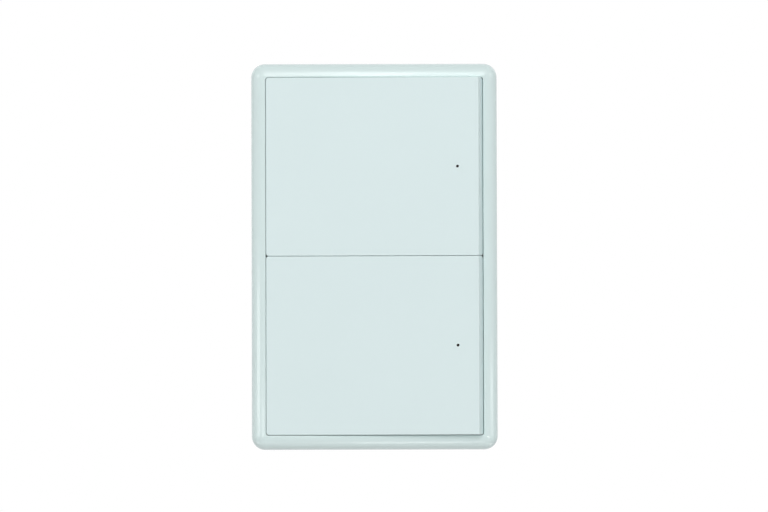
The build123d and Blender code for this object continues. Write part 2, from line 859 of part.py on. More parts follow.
def terminal_screw(x):
    """A cheese-head screw, sunk in its well, with its tip inside the cage."""
    head_back = cage_back - 2.2
    head_radius = well_radius - 0.2
    tip = cage_back + cage_wall + 0.8
    screw = turned(x, cage_y, [
        (0, head_back), (head_radius - 0.25, head_back), (head_radius, head_back + 0.25),
        (head_radius, cage_back - 0.25), (terminal_screw_radius, cage_back - 0.25),
        (terminal_screw_radius, tip - 0.4), (terminal_screw_radius - 0.4, tip), (0, tip),
    ])
    slot_width, slot_depth = 0.7, 0.9
    screw -= block(x - slot_width / 2, x + slot_width / 2, cage_y - 3, cage_y + 3,
                   head_back - 1, head_back + slot_depth)
    return screw - block(x - 1.2, x + 1.2, cage_y - slot_width / 2, cage_y + slot_width / 2,
                         head_back - 1, head_back + slot_depth)


def of_each_pole(make):
    return Compound(children=[make(x) for x in pole_places()])


# Rear housing: a shallow tray against the strap and a stepped box that goes into the wall
def box_taper(width, height, corner, front, back):
    """A drafted box that narrows towards the back."""
    outline = Pos(0, 0, front) * RectangleRounded(width, height, corner)
    return extrude(outline, amount=back - front, taper=box_draft)


def case_screw_profile(grow, tip):
    head = case_screw_head_radius + grow
    shank = case_screw_radius + grow
    return [(0, -grow), (head, -grow), (shank, case_screw_head_height), (shank, tip), (0, tip)]


def rear_housing():
    body = slab(carrier_width - 0.8, carrier_length - 0.8, cavity_corner - 0.4,
                tray_back, tray_front)
    body = fillet(body.faces().sort_by(Axis.Z)[0].edges(), tray_edge_round)
    shell = box_taper(box_width, box_height, box_corner, tray_back, -box_depth)
    shell -= block(-box_width, box_width, -box_height, step_y, -2 * box_depth, -step_depth)
    step_edges = shell.edges().filter_by_position(Axis.Y, step_y - 0.01, step_y + 0.01)
    upright = step_edges.filter_by(lambda edge: abs(edge.center().X) > box_width / 4)
    shell = fillet(upright, step_corner)
    shell = fillet(shell.faces().sort_by(Axis.Z)[0].edges(), box_back_round)
    body += shell
    cavity = box_taper(box_width - 2 * box_wall, box_height - 2 * box_wall,
                       box_corner - box_wall, tray_front + 0.5, -box_depth + box_wall)
    cavity -= block(-box_width, box_width, -box_height, step_y + box_wall,
                    -2 * box_depth, -step_depth + box_wall)
    for x, y in four_corners(post_x, post_y):
        cavity -= corner_column(x, y, -2 * box_depth, power_back)
    body -= cavity
    for x, y in board_screw_places():
        body -= disc(x, y, board_screw_radius + screw_clearance,
                     power_back - board_screw_length, power_back + 1)
    fit = 0.2
    pole_half = pole_pitch * pole_count / 2
    body -= block(-pole_half - fit, pole_half + fit, pole_low - fit,
                  pole_y + pole_length / 2 + fit, -box_depth, -step_depth + box_wall + 1)
    for x, y in four_corners(screw_x, screw_y):
        body -= turned(x, y, case_screw_profile(0.3, tray_front + 1))
    for y in (-slot_y, slot_y):
        body -= slotted(0, y, access_width, access_length, 0, tray_front + 1)
    for x, y in board_posts():
        body += disc(x, y, post_radius + 0.5, tray_front - 0.1, control_back)
    return body - vents()


def vents():
    """Two banks of slots through the back wall and one through each side wall."""
    cuts = []
    for side in (-1, 1):
        for step in range(vent_count):
            y = vent_middle + (step - (vent_count - 1) / 2) * vent_pitch
            back_slot = Pos(side * box_width / 4.4, y, -box_depth) * SlotOverall(vent_length, vent_width)
            cuts.append(extrude(back_slot, amount=box_wall + 1, both=True))
            side_slot = Plane.YZ * Pos(y, -(step_depth + box_depth) / 2 + 4) * Rot(0, 0, 90) \
                * SlotOverall(vent_length, vent_width)
            cuts.append(Pos(side * box_width / 2, 0, 0)
                        * extrude(side_slot, amount=box_wall + 1, both=True))
    return cuts


# Mounting strap: a steel stamping behind the tray, screwed to the wall box
def mounting_strap():
    width, height = plate_width - 2 * strap_margin, plate_height - 2 * strap_margin
    strap = slab(width, height, strap_corner, 0, strap_thickness)
    strap = fillet(strap.faces().sort_by(Axis.Z)[0].edges(), strap_edge_round)
    window_fit = 0.3
    strap -= slab(box_width + 2 * window_fit, box_height + 2 * window_fit,
                  box_corner + window_fit, -1, strap_thickness + 1)
    for y in (-slot_y, slot_y):
        strap -= slotted(0, y, box_slot_width, box_slot_length, -1, strap_thickness + 1)
    for x, y in four_corners(screw_x, screw_y):
        strap -= turned(x, y, case_screw_profile(0.1, strap_thickness + 1))
    return strap


def case_screws():
    screws = []
    for x, y in four_corners(screw_x, screw_y):
        screw = turned(x, y, case_screw_profile(0, case_screw_length))
        screws.append(screw - cross_recess(x, y, 2.8, -1, 0.8))
    return Compound(children=screws)


# The whole switch, stood up on the wall
def key_node(make, centre):
    return Pos(0, centre, 0) * make()


nodes = {
    "front_frame": front_frame(),
    "upper_key": key_node(key, key_rise + key_centre),
    "lower_key": key_node(key, key_rise - key_centre),
    "upper_indicator_lens": key_node(indicator_lens, key_rise + key_centre),
    "lower_indicator_lens": key_node(indicator_lens, key_rise - key_centre),
    "upper_return_spring": key_node(return_spring, key_centre),
    "lower_return_spring": key_node(return_spring, -key_centre),
    "carrier_plate": carrier_plate(),
    "control_board": control_board(),
    "upper_tact_switch": tact_switch(key_centre),
    "lower_tact_switch": tact_switch(-key_centre),
    "upper_switch_stem": switch_stem(key_centre),
    "lower_switch_stem": switch_stem(-key_centre),
    "upper_led": led(key_centre),
    "lower_led": led(-key_centre),
    "control_chip": control_chip(),
    "radio_module": radio_module(),
    "radio_shield": radio_shield(),
    "board_header": board_header(),
    "power_board": power_board(),
    "left_relay": relay(-relay_x),
    "right_relay": relay(relay_x),
    "transformer_core": transformer_core(),
    "transformer_winding": transformer_winding(),
    "input_capacitor": capacitor(*input_cap),
    "output_capacitor": capacitor(*output_cap),
    "varistor": varistor(),
    "fuse": fuse(),
    "board_screws": board_screws(),
    "terminal_block": of_each_pole(terminal_pole),
    "terminal_clamps": of_each_pole(terminal_clamp),
    "terminal_screws": of_each_pole(terminal_screw),
    "rear_housing": rear_housing(),
    "mounting_strap": mounting_strap(),
    "case_screws": case_screws(),
}

os.makedirs("parts", exist_ok=True)
stand_up = Rot(90, 0, 0)
for name, shape in nodes.items():
    upright = Compound([stand_up * solid for solid in shape.solids()])
    export_step(upright, f"parts/{name}.step")
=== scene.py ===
from math import cos, pi, radians, sin

import bmesh
import bpy
from mathutils import Matrix, Vector


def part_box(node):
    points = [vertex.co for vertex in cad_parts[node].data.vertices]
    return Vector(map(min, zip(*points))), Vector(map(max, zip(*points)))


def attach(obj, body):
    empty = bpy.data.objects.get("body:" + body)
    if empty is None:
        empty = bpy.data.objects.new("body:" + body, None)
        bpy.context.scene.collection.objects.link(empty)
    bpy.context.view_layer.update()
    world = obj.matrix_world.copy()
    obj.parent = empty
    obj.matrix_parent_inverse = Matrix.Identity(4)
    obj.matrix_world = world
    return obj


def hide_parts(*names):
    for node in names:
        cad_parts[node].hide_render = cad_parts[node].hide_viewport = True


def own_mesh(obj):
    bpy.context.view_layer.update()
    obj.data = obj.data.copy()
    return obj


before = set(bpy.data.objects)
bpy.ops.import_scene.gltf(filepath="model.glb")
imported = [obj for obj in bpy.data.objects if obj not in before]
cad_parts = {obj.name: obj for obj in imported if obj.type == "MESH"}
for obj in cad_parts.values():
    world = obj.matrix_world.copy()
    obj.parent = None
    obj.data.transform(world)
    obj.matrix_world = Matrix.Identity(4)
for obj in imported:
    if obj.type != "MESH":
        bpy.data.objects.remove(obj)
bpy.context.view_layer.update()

# The camera: almost square to the plate, a little to the left of its middle and below it, at the
# long distance that keeps the plate's sides parallel.
aim = Vector((0.003045, 0.0, 0.000404))
camera_distance = 2.0
camera_turn = radians(0.6)
camera_rise = radians(-2.09)
camera_roll = radians(-0.15)
pixels_per_metre = 3206.0
picture_width = 768
sensor_width = 36.0

camera = bpy.data.objects.new("camera", bpy.data.cameras.new("camera"))
bpy.context.scene.collection.objects.link(camera)
bpy.context.scene.camera = camera
sight = Vector((sin(camera_turn) * cos(camera_rise), cos(camera_turn) * cos(camera_rise),
                -sin(camera_rise)))
camera.location = aim - sight * camera_distance
camera.rotation_euler = (sight.to_track_quat("-Z", "Y").to_matrix()
                         @ Matrix.Rotation(camera_roll, 3, "Z")).to_euler()
camera.data.sensor_width = sensor_width
camera.data.lens = sensor_width * pixels_per_metre * camera_distance / picture_width
bpy.context.scene.view_settings.view_transform = "Standard"


# Mounting strap: a pressed steel plate, zinc plated, which the two wall-box screws pull against
# the wall. Rolling leaves faint streaks along its length, and the plating clouds a little.
def new_finish(name):
    """A material, its node tree, the place on the piece in metres, and its shader."""
    finish = bpy.data.materials.new(name)
    finish.use_nodes = True
    tree = finish.node_tree
    place = tree.nodes.new("ShaderNodeTexCoord").outputs["Object"]
    return finish, tree, place, tree.nodes["Principled BSDF"]


def cloud(tree, place, size, detail=2.0, stretch=(1, 1, 1)):
    """Noise with spots of about this size in metres, longer along an axis of small stretch."""
    mapping = tree.nodes.new("ShaderNodeMapping")
    mapping.inputs["Scale"].default_value = [share / size for share in stretch]
    noise = tree.nodes.new("ShaderNodeTexNoise")
    noise.inputs["Scale"].default_value = 1.0
    noise.inputs["Detail"].default_value = detail
    tree.links.new(place, mapping.inputs["Vector"])
    tree.links.new(mapping.outputs["Vector"], noise.inputs["Vector"])
    return noise.outputs["Fac"]


def spread(tree, value, low=0.0, high=1.0, start=0.3, end=0.7):
    """Turns a value between start and end into a number between low and high."""
    span = tree.nodes.new("ShaderNodeMapRange")
    span.inputs["From Min"].default_value = start
    span.inputs["From Max"].default_value = end
    span.inputs["To Min"].default_value = low
    span.inputs["To Max"].default_value = high
    tree.links.new(value, span.inputs["Value"])
    return span.outputs["Result"]


def blend_colours(tree, share, first, second):
    """A colour between two, each a colour of its own or the output of another node."""
    mix = tree.nodes.new("ShaderNodeMix")
    mix.data_type = "RGBA"
    tree.links.new(share, mix.inputs["Factor"])
    for socket, colour in ((mix.inputs["A"], first), (mix.inputs["B"], second)):
        if isinstance(colour, tuple):
            socket.default_value = (*colour, 1.0)
        else:
            tree.links.new(colour, socket)
    return mix.outputs["Result"]


def relief(tree, shader, height, depth):
    """Raises the surface by up to this depth in metres, where height is 1."""
    bump = tree.nodes.new("ShaderNodeBump")
    bump.inputs["Distance"].default_value = depth
    tree.links.new(height, bump.inputs["Height"])
    tree.links.new(bump.outputs["Normal"], shader.inputs["Normal"])


def plated_metal(name, colour, shade, roughness, streak=(1, 1, 1), depth=0.00001):
    """Bright plated metal with rolling streaks along one axis and cloudy plating."""
    finish, tree, place, shader = new_finish(name)
    shader.inputs["Metallic"].default_value = 1.0
    streaks = cloud(tree, place, size=0.0006, detail=3.0, stretch=streak)
    tint = spread(tree, cloud(tree, place, size=0.008))
    tree.links.new(blend_colours(tree, tint, colour, shade), shader.inputs["Base Color"])
    tree.links.new(spread(tree, streaks, roughness * 0.8, roughness * 1.25),
                   shader.inputs["Roughness"])
    relief(tree, shader, streaks, depth)
    return finish


def dress(finish, *node_names):
    """Gives this finish to pieces of the CAD model."""
    for node_name in node_names:
        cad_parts[node_name].material_slots[0].material = finish


dress(plated_metal("zinc_strap", colour=(0.60, 0.615, 0.64), shade=(0.54, 0.555, 0.585),
                   roughness=0.34, streak=(1, 1, 0.03)), "mounting_strap")


# Rear housing: tray and stepped wall box in one moulding of pale grey flame-retardant plastic,
# with the fine even grain that a spark-eroded mould leaves.
def moulded_plastic(name, colour, shade, roughness, grain, depth, patch=0.02):
    """Moulded plastic: faint cloudiness in its colour, even grain, slightly uneven gloss."""
    finish, tree, place, shader = new_finish(name)
    tint = spread(tree, cloud(tree, place, size=patch, detail=3.0))
    tree.links.new(blend_colours(tree, tint, colour, shade), shader.inputs["Base Color"])
    gloss = cloud(tree, place, size=patch * 0.6)
    tree.links.new(spread(tree, gloss, roughness * 0.9, roughness * 1.12),
                   shader.inputs["Roughness"])
    relief(tree, shader, cloud(tree, place, size=grain), depth)
    return finish


dress(moulded_plastic("housing_plastic", colour=(0.74, 0.76, 0.75), shade=(0.70, 0.72, 0.71),
                      roughness=0.52, grain=0.0004, depth=0.00003), "rear_housing")


# Power board: green lacquered glass laminate on the posts of the housing, 1.6 mm thick. Under
# the lacquer its copper shows lighter: broad areas with square and bevelled corners, bundles of
# straight tracks between them, and small tinned through-holes.
def circuit_board(name, lacquer, track, area, pitch):
    """Lacquered laminate: copper areas about this large, in metres, and tracks at this pitch."""
    finish, tree, place, shader = new_finish(name)
    bare, covered = (0, 0, 0), (1, 1, 1)
    tinned_hole = (0.62, 0.62, 0.58)
    one_band_per_unit = 0.314

    def laid_flat(size):
        mapping = tree.nodes.new("ShaderNodeMapping")
        mapping.inputs["Rotation"].default_value = (radians(90), 0, 0)
        mapping.inputs["Scale"].default_value = (1 / size, 1 / size, 1 / size)
        tree.links.new(place, mapping.inputs["Vector"])
        return mapping.outputs["Vector"]

    def cells(metric):
        pattern = tree.nodes.new("ShaderNodeTexVoronoi")
        pattern.voronoi_dimensions = "2D"
        pattern.distance = metric
        pattern.inputs["Scale"].default_value = 1.0
        tree.links.new(laid_flat(area), pattern.inputs["Vector"])
        return pattern

    def track_bundle(direction):
        lines = tree.nodes.new("ShaderNodeTexWave")
        lines.bands_direction = direction
        lines.inputs["Scale"].default_value = one_band_per_unit
        tree.links.new(laid_flat(pitch), lines.inputs["Vector"])
        return spread(tree, lines.outputs["Fac"], start=0.62, end=0.74)

    areas = tree.nodes.new("ShaderNodeSeparateColor")
    tree.links.new(cells("CHEBYCHEV").outputs["Color"], areas.inputs["Color"])

    def chosen(channel, above):
        """1 on the areas whose random number in this channel is above this, 0 on the others."""
        return spread(tree, areas.outputs[channel], start=above, end=above + 0.001)

    bundles = blend_colours(tree, chosen("Green", 0.5), track_bundle("X"), track_bundle("Y"))
    tracks = blend_colours(tree, chosen("Blue", 0.45), bare, bundles)
    copper = blend_colours(tree, chosen("Red", 0.6), tracks, covered)
    tint = spread(tree, cloud(tree, place, size=0.01))
    shaded = blend_colours(tree, tint, lacquer, tuple(0.85 * share for share in lacquer))
    coloured = blend_colours(tree, copper, shaded, track)
    holes = spread(tree, cells("EUCLIDEAN").outputs["Distance"], 1.0, 0.0, start=0.04, end=0.05)
    tree.links.new(blend_colours(tree, holes, coloured, tinned_hole), shader.inputs["Base Color"])
    tree.links.new(spread(tree, cloud(tree, place, size=0.0005), low=0.22, high=0.34),
                   shader.inputs["Roughness"])
    relief(tree, shader, copper, 0.00003)
    return finish


dress(circuit_board("power_laminate", lacquer=(0.014, 0.11, 0.045), track=(0.035, 0.19, 0.08),
                    area=0.009, pitch=0.0018), "power_board")


# Relays: sealed cases of deep blue plastic, glossy from a polished mould. Their tinned leads go
# through the power board, whose back face is 7.6 mm behind the wall plane.
def place_along(tree, axis):
    """The place on the piece along one axis, in metres."""
    point = next(node for node in tree.nodes if node.bl_idname == "ShaderNodeTexCoord")
    apart = tree.nodes.new("ShaderNodeSeparateXYZ")
    tree.links.new(point.outputs["Object"], apart.inputs["Vector"])
    return apart.outputs[axis]


def tin_outside(finish, axis, low, high):
    """Shows the piece as tinned metal wherever it lies outside low and high along one axis."""
    tinned = (0.76, 0.76, 0.74)
    tree = finish.node_tree
    shader = tree.nodes["Principled BSDF"]
    inside = tree.nodes.new("ShaderNodeMath")
    inside.operation = "COMPARE"
    tree.links.new(place_along(tree, axis), inside.inputs[0])
    inside.inputs[1].default_value = (low + high) / 2
    inside.inputs[2].default_value = (high - low) / 2
    body_colour = shader.inputs["Base Color"].links[0].from_socket
    tree.links.new(blend_colours(tree, inside.outputs["Value"], tinned, body_colour),
                   shader.inputs["Base Color"])
    tree.links.new(spread(tree, inside.outputs["Value"], 1.0, 0.0, start=0.0, end=1.0),
                   shader.inputs["Metallic"])
    return finish


# A part's body stands behind this board, and what lies nearer the room is one of its leads.
power_board_front, power_board_back = (corner.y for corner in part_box("power_board"))
bodies_start = power_board_back - 0.00002
past_every_body = 0.05
behind_board = ("Y", bodies_start, past_every_body)
relay_case = moulded_plastic("relay_case", colour=(0.010, 0.055, 0.24), shade=(0.012, 0.065, 0.28),
                             roughness=0.24, grain=0.0007, depth=0.000008)
dress(tin_outside(relay_case, *behind_board), "left_relay", "right_relay")

# Supply parts: a ferrite core, dark grey and sintered; its taped winding; two capacitors in
# dark sleeves, with a pale stripe down the side of the minus lead and a bare metal end; a
# varistor dipped in blue resin; and a fuse in a brown case.
dress(moulded_plastic("sintered_ferrite", colour=(0.045, 0.045, 0.05), shade=(0.07, 0.07, 0.075),
                      roughness=0.62, grain=0.0003, depth=0.00004, patch=0.003),
      "transformer_core")
winding_tape = moulded_plastic("winding_tape", colour=(0.72, 0.49, 0.05), shade=(0.80, 0.58, 0.09),
                               roughness=0.30, grain=0.0012, depth=0.00002, patch=0.006)
dress(tin_outside(winding_tape, *behind_board), "transformer_winding")
pale_stripe = (0.55, 0.56, 0.56)
stripe_from = 0.93
stripe_blur = 0.00003
metal_end = 0.00025
for capacitor in ("input_capacitor", "output_capacitor"):
    lowest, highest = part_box(capacitor)
    sleeve = moulded_plastic(capacitor + "_sleeve", colour=(0.014, 0.016, 0.03),
                             shade=(0.02, 0.024, 0.045), roughness=0.28, grain=0.0016,
                             depth=0.00002, patch=0.006)
    tree = sleeve.node_tree
    shader = tree.nodes["Principled BSDF"]
    stripe_start = lowest.x + stripe_from * (highest.x - lowest.x)
    stripe = spread(tree, place_along(tree, "X"), start=stripe_start - stripe_blur,
                    end=stripe_start + stripe_blur)
    sleeve_colour = shader.inputs["Base Color"].links[0].from_socket
    tree.links.new(blend_colours(tree, stripe, sleeve_colour, pale_stripe),
                   shader.inputs["Base Color"])
    dress(tin_outside(sleeve, "Y", bodies_start, highest.y - metal_end), capacitor)
varistor_resin = moulded_plastic("varistor_resin", colour=(0.012, 0.09, 0.42),
                                 shade=(0.02, 0.12, 0.50), roughness=0.34, grain=0.0009,
                                 depth=0.00005, patch=0.005)
dress(tin_outside(varistor_resin, *behind_board), "varistor")
fuse_case = moulded_plastic("fuse_case", colour=(0.20, 0.075, 0.03), shade=(0.26, 0.10, 0.04),
                            roughness=0.40, grain=0.0005, depth=0.00001, patch=0.005)
dress(tin_outside(fuse_case, *behind_board), "fuse")

# Board screws: small pan-head screws, zinc plated.
screw_zinc = plated_metal("screw_zinc", colour=(0.70, 0.71, 0.73), shade=(0.58, 0.58, 0.60),
                          roughness=0.30, depth=0.000006)
dress(screw_zinc, "board_screws")

# Screw terminals: four dark moulded modules side by side, a brass cage in each, and a plated
# cheese-head screw that draws the cage up on the wire.
dress(moulded_plastic("terminal_plastic", colour=(0.035, 0.037, 0.04), shade=(0.05, 0.052, 0.056),
                      roughness=0.44, grain=0.0004, depth=0.00002, patch=0.004),
      "terminal_block")
dress(plated_metal("clamp_brass", colour=(0.80, 0.60, 0.27), shade=(0.68, 0.48, 0.20),
                   roughness=0.34), "terminal_clamps")
dress(screw_zinc, "terminal_screws")

# Control board: the thinner laminate that fills the tray, with the radio's small board on its
# back, and the black strip of pins that joins it to the power board.
dress(circuit_board("control_laminate", lacquer=(0.012, 0.10, 0.042), track=(0.03, 0.17, 0.075),
                    area=0.007, pitch=0.0009), "control_board")
dress(circuit_board("radio_laminate", lacquer=(0.008, 0.014, 0.05), track=(0.016, 0.032, 0.10),
                    area=0.003, pitch=0.0006), "radio_module")
dress(plated_metal("tinned_can", colour=(0.80, 0.80, 0.78), shade=(0.70, 0.70, 0.69),
                   roughness=0.26, streak=(1, 1, 0.1)), "radio_shield")
control_board_front, control_board_back = (corner.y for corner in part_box("control_board"))
header_plastic = moulded_plastic("header_plastic", colour=(0.018, 0.018, 0.02),
                                 shade=(0.03, 0.03, 0.032), roughness=0.45, grain=0.0004,
                                 depth=0.00001, patch=0.004)
dress(tin_outside(header_plastic, "Y", control_board_back, power_board_front), "board_header")
chip_left, chip_right = -0.01395, -0.01005
chip_compound = moulded_plastic("chip_compound", colour=(0.015, 0.015, 0.017),
                                shade=(0.028, 0.028, 0.03), roughness=0.55, grain=0.0002,
                                depth=0.00001, patch=0.002)
dress(tin_outside(chip_compound, "X", chip_left, chip_right), "control_chip")

# Tactile switches and lights: black switch bodies with pale plungers, and two small lights in
# clear resin, one under each key's indicator.
switch_left, switch_right = -0.001, 0.005
switch_body = moulded_plastic("switch_body", colour=(0.02, 0.02, 0.022),
                              shade=(0.032, 0.032, 0.034), roughness=0.42, grain=0.0003,
                              depth=0.00001, patch=0.003)
dress(tin_outside(switch_body, "X", switch_left, switch_right),
      "upper_tact_switch", "lower_tact_switch")
dress(moulded_plastic("switch_plunger", colour=(0.68, 0.66, 0.60), shade=(0.62, 0.60, 0.55),
                      roughness=0.38, grain=0.0003, depth=0.00001, patch=0.003),
      "upper_switch_stem", "lower_switch_stem")
dress(moulded_plastic("light_resin", colour=(0.80, 0.78, 0.55), shade=(0.86, 0.84, 0.66),
                      roughness=0.16, grain=0.0004, depth=0.000004, patch=0.002),
      "upper_led", "lower_led")


# Solder joints: round every lead that comes through a board, a small bright cone with hollow
# sides, wide at the copper and drawn up the lead while it was molten.
def to_object(name, shape):
    """Makes an object in the scene from a finished bmesh."""
    mesh = bpy.data.meshes.new(name)
    shape.to_mesh(mesh)
    shape.free()
    made = bpy.data.objects.new(name, mesh)
    bpy.context.scene.collection.objects.link(made)
    return made


def add_piece(name, shape, finish):
    """A piece that stays still with the housing, its doubles merged and its faces outwards."""
    bmesh.ops.remove_doubles(shape, verts=shape.verts, dist=0.000001)
    bmesh.ops.recalc_face_normals(shape, faces=shape.faces)
    piece = to_object(name, shape)
    piece.data.materials.append(finish)
    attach(piece, "housing")
    return piece


def solder_joints(name, places, copper, foot, height):
    """Cones on a board's room side, where its copper lies at this depth, at each (x, z) in mm."""
    outline = ((0, 0), (1, 0), (0.72, 0.12), (0.54, 0.42), (0.48, 0.9), (0, 1))
    shape = bmesh.new()
    for x, z in places:
        x, z = x / 1000, z / 1000
        line = [shape.verts.new((x + foot * out, copper - height * up, z)) for out, up in outline]
        edges = [shape.edges.new(pair) for pair in zip(line, line[1:])]
        bmesh.ops.spin(shape, geom=line + edges, cent=(x, copper, z), axis=(0, 1, 0),
                       angle=2 * pi, steps=12, use_merge=True)
    for face in shape.faces:
        face.smooth = True
    add_piece(name, shape, solder)


def middle_of(node_name, axis):
    """The middle of a CAD piece along one axis, in mm."""
    return 500 * sum(getattr(corner, axis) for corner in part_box(node_name))


solder = plated_metal("solder", colour=(0.78, 0.78, 0.76), shade=(0.66, 0.66, 0.65),
                      roughness=0.20)
four_in_a_row = (-1.5, -0.5, 0.5, 1.5)
header_pins = [(-12.0 + 2.54 * step, 22.0 + 1.27 * row)
               for step in four_in_a_row for row in (-1, 1)]
relay_middle = middle_of("left_relay", "z")
relay_leads = [(side * 8.6 + x, relay_middle + z) for side in (-1, 1)
               for x, z in ((-6, -7.5), (6, -7.5), (0, 7), (-6, 7), (6, 7))]
transformer_leads = [(-10.0 + 4.2 * side, 14.6 + 3.6 * end) for side in (-1, 1) for end in (-1, 1)]
capacitor_leads = [(4.35, 13.6), (6.85, 13.6), (13.95, 13.8), (16.45, 13.8)]
varistor_leads = [(-11.5, 26.0), (-6.5, 27.2)]
fuse_leads = [(2.86, 25.4), (7.94, 25.4)]
terminal_leads = [(7.62 * step, -25.4) for step in four_in_a_row]
power_leads = (relay_leads + transformer_leads + capacitor_leads + varistor_leads + fuse_leads
               + terminal_leads)
solder_joints("power_board_solder", power_leads, power_board_front, foot=0.00095, height=0.00085)
solder_joints("header_solder", header_pins, control_board_front, foot=0.0007, height=0.00038)


# Chip parts: resistors with a black film, and ceramic capacitors, tan right through. Each is
# soldered down by a tinned cap at either end, beside the chip, the lights and the relay leads.
def chip_blocks(name, places, copper, size, shares, finish):
    """Little blocks with softened edges on a board's room side. Each share says how far from the
    part's middle a block lies and how long it is, as shares of the part's length."""
    length, width, height = size
    edge_round = 0.00005
    shape = bmesh.new()
    for x, z, upright in places:
        for offset, share in shares:
            along, shift = length * share, length * offset
            block_size = (width, height, along) if upright else (along, height, width)
            middle = Vector((x / 1000, copper - height / 2, z / 1000))
            middle += Vector((0, 0, shift)) if upright else Vector((shift, 0, 0))
            block = bmesh.ops.create_cube(shape, size=1.0)["verts"]
            bmesh.ops.scale(shape, vec=block_size, verts=block)
            bmesh.ops.translate(shape, vec=middle, verts=block)
            edges = list({edge for vert in block for edge in vert.link_edges})
            bmesh.ops.bevel(shape, geom=edges, offset=edge_round, offset_type="OFFSET",
                            affect="EDGES", segments=2, profile=0.5, material=-1)
    add_piece(name, shape, finish)


resistor_film = moulded_plastic("resistor_film", colour=(0.012, 0.012, 0.014),
                                shade=(0.02, 0.02, 0.022), roughness=0.3, grain=0.0002,
                                depth=0.000004, patch=0.002)
ceramic = moulded_plastic("capacitor_ceramic", colour=(0.42, 0.27, 0.15),
                          shade=(0.48, 0.32, 0.19), roughness=0.42, grain=0.0002,
                          depth=0.000004, patch=0.002)
middle_part, end_caps = ((0, 0.66),), ((-0.42, 0.16), (0.42, 0.16))
resistor_size, resistor_cap_size = (0.002, 0.00125, 0.0005), (0.002, 0.00129, 0.00054)
ceramic_size, ceramic_cap_size = (0.0016, 0.0009, 0.0007), (0.0016, 0.00094, 0.00074)
beside_light = middle_of("upper_led", "x") - 3.4
light_height = middle_of("upper_led", "z")
control_resistors = [(-17.2, 3.4, False), (-17.2, 1.2, False), (-17.2, -1.2, False),
                     (-6.6, 2.0, False), (-6.6, -2.0, False), (beside_light, light_height, True),
                     (beside_light, -light_height, True), (2.0, 20.5, False), (2.0, -20.5, False)]
control_ceramics = [(-17.2, -3.4, False), (-12.0, 5.0, False), (-12.0, -5.0, False),
                    (4.6, 20.5, True), (4.6, -20.5, True)]
power_resistors = [(0.0, -5.0, False), (0.0, -7.0, False), (0.0, -9.0, False), (10.4, 19.2, True)]
for kind, places, copper, finish, size, cap_size in (
        ("control_resistor", control_resistors, control_board_front, resistor_film,
         resistor_size, resistor_cap_size),
        ("power_resistor", power_resistors, power_board_front, resistor_film,
         resistor_size, resistor_cap_size),
        ("control_ceramic", control_ceramics, control_board_front, ceramic,
         ceramic_size, ceramic_cap_size)):
    chip_blocks(kind + "s", places, copper, size, middle_part, finish)
    chip_blocks(kind + "_caps", places, copper, cap_size, end_caps, solder)

# Carrier plate: the lid over the electronics, moulded in the housing's pale grey, with the
# bearings, stop slots and spring cups of the keys. Four countersunk screws hold it from behind.
dress(moulded_plastic("carrier_plastic", colour=(0.76, 0.78, 0.77), shade=(0.72, 0.74, 0.73),
                      roughness=0.48, grain=0.0004, depth=0.00002), "carrier_plate")
dress(screw_zinc, "case_screws")

# Return springs: drawn steel wire, wound right round four times with the end turns closed, one
# in a cup of the carrier under each key, where a pressed key comes down on it. Each coil stays
# still with the housing and keeps its length.
wire_radius = 0.00024
closed_turns, open_turns = 0.8, 2.4
closed_pitch = 0.0005
steps_per_turn = 30
spring_wire = plated_metal("spring_wire", colour=(0.60, 0.61, 0.63), shade=(0.48, 0.49, 0.52),
                           roughness=0.24, depth=0.000004)
for key in ("upper", "lower"):
    lowest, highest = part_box(key + "_return_spring")
    seat = Vector(((lowest.x + highest.x) / 2, highest.y, (lowest.z + highest.z) / 2))
    length = highest.y - lowest.y
    coil_radius = (highest.x - lowest.x) / 2 - wire_radius
    open_pitch = (length - 2 * wire_radius - 2 * closed_turns * closed_pitch) / open_turns
    shape = bmesh.new()
    ring = bmesh.ops.create_circle(shape, cap_ends=False, segments=10, radius=wire_radius)["verts"]
    bmesh.ops.translate(shape, vec=seat + Vector((coil_radius, -wire_radius, 0)), verts=ring)
    ring += list({edge for vert in ring for edge in vert.link_edges})
    for turns, pitch in ((closed_turns, closed_pitch), (open_turns, open_pitch),
                         (closed_turns, closed_pitch)):
        steps = round(steps_per_turn * turns)
        wound = bmesh.ops.spin(shape, geom=ring, cent=seat, axis=(0, 1, 0), angle=2 * pi * turns,
                               dvec=(0, -pitch * turns / steps, 0), steps=steps)
        ring = wound["geom_last"]
    bmesh.ops.holes_fill(shape, edges=[edge for edge in shape.edges if edge.is_boundary])
    for face in shape.faces:
        face.smooth = len(face.verts) == 4
    spring = add_piece(key + "_coil_spring", shape, spring_wire)
    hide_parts(key + "_return_spring")
    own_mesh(spring)

# Keys: two wide wedge-shaped covers in very pale mint plastic with a satin face, so fine that
# it only softens the light. Smoked light guides the size of a pinhead end flush with them.
dress(moulded_plastic("key_plastic", colour=(0.742, 0.866, 0.870), shade=(0.734, 0.858, 0.862),
                      roughness=0.38, grain=0.00025, depth=0.000004, patch=0.03),
      "upper_key", "lower_key")
dress(moulded_plastic("smoked_guide", colour=(0.010, 0.003, 0.003), shade=(0.014, 0.005, 0.005),
                      roughness=0.12, grain=0.0005, depth=0.000001, patch=0.002),
      "upper_indicator_lens", "lower_indicator_lens")

# Front frame: the same mint plastic from a polished mould, so that its round rim carries sharp
# highlights. It clips over the carrier plate.
dress(moulded_plastic("frame_plastic", colour=(0.722, 0.856, 0.848), shade=(0.717, 0.850, 0.842),
                      roughness=0.10, grain=0.0015, depth=0.000002, patch=0.03), "front_frame")


